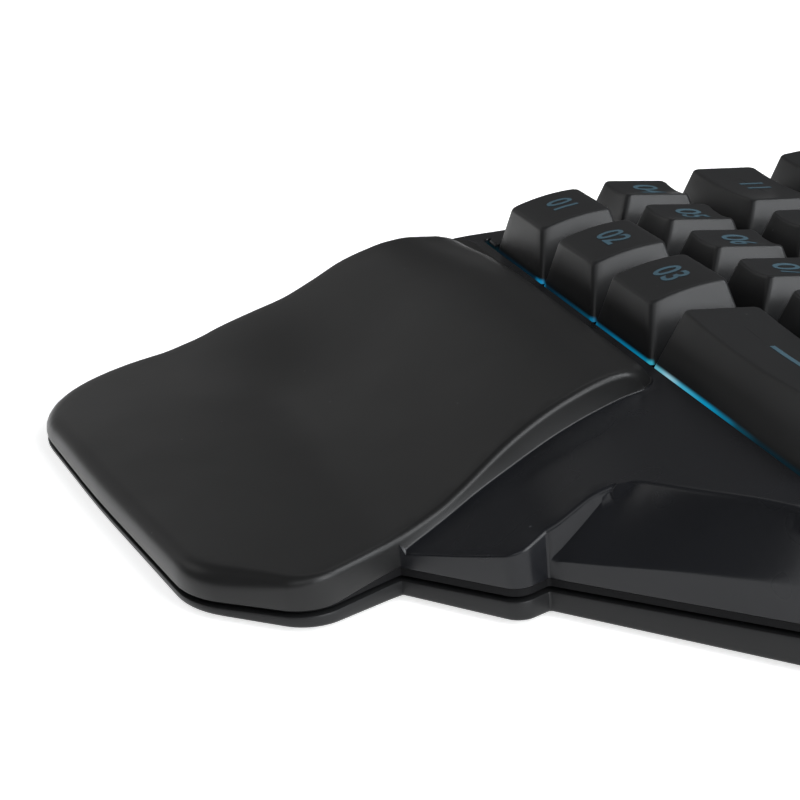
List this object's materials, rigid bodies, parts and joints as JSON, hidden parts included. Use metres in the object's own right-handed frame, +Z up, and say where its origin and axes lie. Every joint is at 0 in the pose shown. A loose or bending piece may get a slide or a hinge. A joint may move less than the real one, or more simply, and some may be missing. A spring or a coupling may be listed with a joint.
{
  "type": "gaming keypad",
  "caption": "Low one-handed keypad with a sculpted palm rest, a winged side with a sloped panel, and rows of sprung keys in a lit recess.",
  "frame": {"origin": "middle of the footprint's bounding box, at the height of the rubber feet's undersides", "axes": "+X to the user's right, +Y away from the user from the palm rest to the back edge, +Z up"},
  "size_m": [0.155, 0.2198, 0.0395],
  "materials": {
    "top_cover_plastic": "fine matte texture",
    "bottom_cover_plastic": "fine matte texture",
    "keycap_plastic": "soft matte coating",
    "key_plate_plastic": "plain moulded, lit from under",
    "dome_silicone": "smooth translucent silicone",
    "membrane_film": "smooth printed film",
    "light_guide_acrylic": "clear and polished, lit",
    "backing_steel": "plain rolled sheet",
    "board_laminate": "green board lacquer",
    "gland_rubber": "matte moulded rubber",
    "foot_rubber": "matte moulded rubber",
    "screw_steel": "dark zinc plating"
  },
  "bodies": {
    "case": {"top_cover": "top_cover_plastic", "bottom_cover": "bottom_cover_plastic", "key_plate": "key_plate_plastic", "dome_sheet": "dome_silicone", "membrane_sheet": "membrane_film", "light_guide": "light_guide_acrylic", "backing_plate": "backing_steel", "controller_board": "board_laminate", "cable_gland": "gland_rubber", "rubber_foot_1": "foot_rubber", "rubber_foot_2": "foot_rubber", "rubber_foot_3": "foot_rubber", "rubber_foot_4": "foot_rubber", "rubber_foot_5": "foot_rubber", "rubber_foot_6": "foot_rubber", "case_screw_1": "screw_steel", "case_screw_2": "screw_steel", "case_screw_3": "screw_steel", "case_screw_4": "screw_steel", "case_screw_5": "screw_steel", "case_screw_6": "screw_steel", "case_screw_7": "screw_steel", "case_screw_8": "screw_steel"},
    "key_front_1": {"key_front_1": "keycap_plastic"},
    "key_front_2": {"key_front_2": "keycap_plastic"},
    "key_front_3": {"key_front_3": "keycap_plastic"},
    "key_lower_1": {"key_lower_1": "keycap_plastic"},
    "key_lower_2": {"key_lower_2": "keycap_plastic"},
    "key_lower_3": {"key_lower_3": "keycap_plastic"},
    "key_lower_4": {"key_lower_4": "keycap_plastic"},
    "key_lower_5": {"key_lower_5": "keycap_plastic"},
    "key_lower_6": {"key_lower_6": "keycap_plastic"},
    "key_lower_7": {"key_lower_7": "keycap_plastic"},
    "key_home_1": {"key_home_1": "keycap_plastic"},
    "key_home_2": {"key_home_2": "keycap_plastic"},
    "key_home_3": {"key_home_3": "keycap_plastic"},
    "key_home_4": {"key_home_4": "keycap_plastic"},
    "key_home_5": {"key_home_5": "keycap_plastic"},
    "key_home_6": {"key_home_6": "keycap_plastic"},
    "key_upper_1": {"key_upper_1": "keycap_plastic"},
    "key_upper_2": {"key_upper_2": "keycap_plastic"},
    "key_upper_3": {"key_upper_3": "keycap_plastic"},
    "key_upper_4": {"key_upper_4": "keycap_plastic"},
    "key_upper_5": {"key_upper_5": "keycap_plastic"},
    "key_upper_6": {"key_upper_6": "keycap_plastic"},
    "key_number_1": {"key_number_1": "keycap_plastic"},
    "key_number_2": {"key_number_2": "keycap_plastic"},
    "key_number_3": {"key_number_3": "keycap_plastic"},
    "key_number_4": {"key_number_4": "keycap_plastic"},
    "key_number_5": {"key_number_5": "keycap_plastic"},
    "key_number_6": {"key_number_6": "keycap_plastic"},
    "key_number_7": {"key_number_7": "keycap_plastic"},
    "key_macro_1": {"key_macro_1": "keycap_plastic"},
    "key_macro_2": {"key_macro_2": "keycap_plastic"},
    "key_macro_3": {"key_macro_3": "keycap_plastic"},
    "key_macro_4": {"key_macro_4": "keycap_plastic"},
    "key_macro_5": {"key_macro_5": "keycap_plastic"},
    "thumb_key": {"thumb_key": "keycap_plastic"}
  },
  "joints": [
    {"name": "key_front_1_press", "type": "slide", "parent": "case", "child": "key_front_1", "axis": [0, -0.0429, 0.9991], "range_m": [-0.0035, 0], "stiffness_N_per_m": 150, "springref_m": 0.0015, "deforming": ["dome_sheet"]},
    {"name": "key_front_2_press", "type": "slide", "parent": "case", "child": "key_front_2", "axis": [0, -0.0429, 0.9991], "range_m": [-0.0035, 0], "stiffness_N_per_m": 150, "springref_m": 0.0015, "deforming": ["dome_sheet"]},
    {"name": "key_front_3_press", "type": "slide", "parent": "case", "child": "key_front_3", "axis": [0, -0.0429, 0.9991], "range_m": [-0.0035, 0], "stiffness_N_per_m": 150, "springref_m": 0.0015, "deforming": ["dome_sheet"]},
    {"name": "key_lower_1_press", "type": "slide", "parent": "case", "child": "key_lower_1", "axis": [0, -0.0429, 0.9991], "range_m": [-0.0035, 0], "stiffness_N_per_m": 150, "springref_m": 0.0015, "deforming": ["dome_sheet"]},
    {"name": "key_lower_2_press", "type": "slide", "parent": "case", "child": "key_lower_2", "axis": [0, -0.0429, 0.9991], "range_m": [-0.0035, 0], "stiffness_N_per_m": 150, "springref_m": 0.0015, "deforming": ["dome_sheet"]},
    {"name": "key_lower_3_press", "type": "slide", "parent": "case", "child": "key_lower_3", "axis": [0, -0.0429, 0.9991], "range_m": [-0.0035, 0], "stiffness_N_per_m": 150, "springref_m": 0.0015, "deforming": ["dome_sheet"]},
    {"name": "key_lower_4_press", "type": "slide", "parent": "case", "child": "key_lower_4", "axis": [0, -0.0429, 0.9991], "range_m": [-0.0035, 0], "stiffness_N_per_m": 150, "springref_m": 0.0015, "deforming": ["dome_sheet"]},
    {"name": "key_lower_5_press", "type": "slide", "parent": "case", "child": "key_lower_5", "axis": [0, -0.0429, 0.9991], "range_m": [-0.0035, 0], "stiffness_N_per_m": 150, "springref_m": 0.0015, "deforming": ["dome_sheet"]},
    {"name": "key_lower_6_press", "type": "slide", "parent": "case", "child": "key_lower_6", "axis": [0, -0.0429, 0.9991], "range_m": [-0.0035, 0], "stiffness_N_per_m": 150, "springref_m": 0.0015, "deforming": ["dome_sheet"]},
    {"name": "key_lower_7_press", "type": "slide", "parent": "case", "child": "key_lower_7", "axis": [0, -0.0429, 0.9991], "range_m": [-0.0035, 0], "stiffness_N_per_m": 150, "springref_m": 0.0015, "deforming": ["dome_sheet"]},
    {"name": "key_home_1_press", "type": "slide", "parent": "case", "child": "key_home_1", "axis": [0, -0.0429, 0.9991], "range_m": [-0.0035, 0], "stiffness_N_per_m": 150, "springref_m": 0.0015, "deforming": ["dome_sheet"]},
    {"name": "key_home_2_press", "type": "slide", "parent": "case", "child": "key_home_2", "axis": [0, -0.0429, 0.9991], "range_m": [-0.0035, 0], "stiffness_N_per_m": 150, "springref_m": 0.0015, "deforming": ["dome_sheet"]},
    {"name": "key_home_3_press", "type": "slide", "parent": "case", "child": "key_home_3", "axis": [0, -0.0429, 0.9991], "range_m": [-0.0035, 0], "stiffness_N_per_m": 150, "springref_m": 0.0015, "deforming": ["dome_sheet"]},
    {"name": "key_home_4_press", "type": "slide", "parent": "case", "child": "key_home_4", "axis": [0, -0.0429, 0.9991], "range_m": [-0.0035, 0], "stiffness_N_per_m": 150, "springref_m": 0.0015, "deforming": ["dome_sheet"]},
    {"name": "key_home_5_press", "type": "slide", "parent": "case", "child": "key_home_5", "axis": [0, -0.0429, 0.9991], "range_m": [-0.0035, 0], "stiffness_N_per_m": 150, "springref_m": 0.0015, "deforming": ["dome_sheet"]},
    {"name": "key_home_6_press", "type": "slide", "parent": "case", "child": "key_home_6", "axis": [0, -0.0429, 0.9991], "range_m": [-0.0035, 0], "stiffness_N_per_m": 150, "springref_m": 0.0015, "deforming": ["dome_sheet"]},
    {"name": "key_upper_1_press", "type": "slide", "parent": "case", "child": "key_upper_1", "axis": [0, -0.0429, 0.9991], "range_m": [-0.0035, 0], "stiffness_N_per_m": 150, "springref_m": 0.0015, "deforming": ["dome_sheet"]},
    {"name": "key_upper_2_press", "type": "slide", "parent": "case", "child": "key_upper_2", "axis": [0, -0.0429, 0.9991], "range_m": [-0.0035, 0], "stiffness_N_per_m": 150, "springref_m": 0.0015, "deforming": ["dome_sheet"]},
    {"name": "key_upper_3_press", "type": "slide", "parent": "case", "child": "key_upper_3", "axis": [0, -0.0429, 0.9991], "range_m": [-0.0035, 0], "stiffness_N_per_m": 150, "springref_m": 0.0015, "deforming": ["dome_sheet"]},
    {"name": "key_upper_4_press", "type": "slide", "parent": "case", "child": "key_upper_4", "axis": [0, -0.0429, 0.9991], "range_m": [-0.0035, 0], "stiffness_N_per_m": 150, "springref_m": 0.0015, "deforming": ["dome_sheet"]},
    {"name": "key_upper_5_press", "type": "slide", "parent": "case", "child": "key_upper_5", "axis": [0, -0.0429, 0.9991], "range_m": [-0.0035, 0], "stiffness_N_per_m": 150, "springref_m": 0.0015, "deforming": ["dome_sheet"]},
    {"name": "key_upper_6_press", "type": "slide", "parent": "case", "child": "key_upper_6", "axis": [0, -0.0429, 0.9991], "range_m": [-0.0035, 0], "stiffness_N_per_m": 150, "springref_m": 0.0015, "deforming": ["dome_sheet"]},
    {"name": "key_number_1_press", "type": "slide", "parent": "case", "child": "key_number_1", "axis": [0, -0.0429, 0.9991], "range_m": [-0.0035, 0], "stiffness_N_per_m": 150, "springref_m": 0.0015, "deforming": ["dome_sheet"]},
    {"name": "key_number_2_press", "type": "slide", "parent": "case", "child": "key_number_2", "axis": [0, -0.0429, 0.9991], "range_m": [-0.0035, 0], "stiffness_N_per_m": 150, "springref_m": 0.0015, "deforming": ["dome_sheet"]},
    {"name": "key_number_3_press", "type": "slide", "parent": "case", "child": "key_number_3", "axis": [0, -0.0429, 0.9991], "range_m": [-0.0035, 0], "stiffness_N_per_m": 150, "springref_m": 0.0015, "deforming": ["dome_sheet"]},
    {"name": "key_number_4_press", "type": "slide", "parent": "case", "child": "key_number_4", "axis": [0, -0.0429, 0.9991], "range_m": [-0.0035, 0], "stiffness_N_per_m": 150, "springref_m": 0.0015, "deforming": ["dome_sheet"]},
    {"name": "key_number_5_press", "type": "slide", "parent": "case", "child": "key_number_5", "axis": [0, -0.0429, 0.9991], "range_m": [-0.0035, 0], "stiffness_N_per_m": 150, "springref_m": 0.0015, "deforming": ["dome_sheet"]},
    {"name": "key_number_6_press", "type": "slide", "parent": "case", "child": "key_number_6", "axis": [0, -0.0429, 0.9991], "range_m": [-0.0035, 0], "stiffness_N_per_m": 150, "springref_m": 0.0015, "deforming": ["dome_sheet"]},
    {"name": "key_number_7_press", "type": "slide", "parent": "case", "child": "key_number_7", "axis": [0, -0.0429, 0.9991], "range_m": [-0.0035, 0], "stiffness_N_per_m": 150, "springref_m": 0.0015, "deforming": ["dome_sheet"]},
    {"name": "key_macro_1_press", "type": "slide", "parent": "case", "child": "key_macro_1", "axis": [0, -0.0429, 0.9991], "range_m": [-0.0035, 0], "stiffness_N_per_m": 150, "springref_m": 0.0015, "deforming": ["dome_sheet"]},
    {"name": "key_macro_2_press", "type": "slide", "parent": "case", "child": "key_macro_2", "axis": [0, -0.0429, 0.9991], "range_m": [-0.0035, 0], "stiffness_N_per_m": 150, "springref_m": 0.0015, "deforming": ["dome_sheet"]},
    {"name": "key_macro_3_press", "type": "slide", "parent": "case", "child": "key_macro_3", "axis": [0, -0.0429, 0.9991], "range_m": [-0.0035, 0], "stiffness_N_per_m": 150, "springref_m": 0.0015, "deforming": ["dome_sheet"]},
    {"name": "key_macro_4_press", "type": "slide", "parent": "case", "child": "key_macro_4", "axis": [0, -0.0429, 0.9991], "range_m": [-0.0035, 0], "stiffness_N_per_m": 150, "springref_m": 0.0015, "deforming": ["dome_sheet"]},
    {"name": "key_macro_5_press", "type": "slide", "parent": "case", "child": "key_macro_5", "axis": [0, -0.0429, 0.9991], "range_m": [-0.0035, 0], "stiffness_N_per_m": 150, "springref_m": 0.0015, "deforming": ["dome_sheet"]},
    {"name": "thumb_key_press", "type": "slide", "parent": "case", "child": "thumb_key", "axis": [0, -0.0429, 0.9991], "range_m": [-0.0035, 0], "stiffness_N_per_m": 150, "springref_m": 0.0015, "deforming": ["dome_sheet"]}
  ]
}
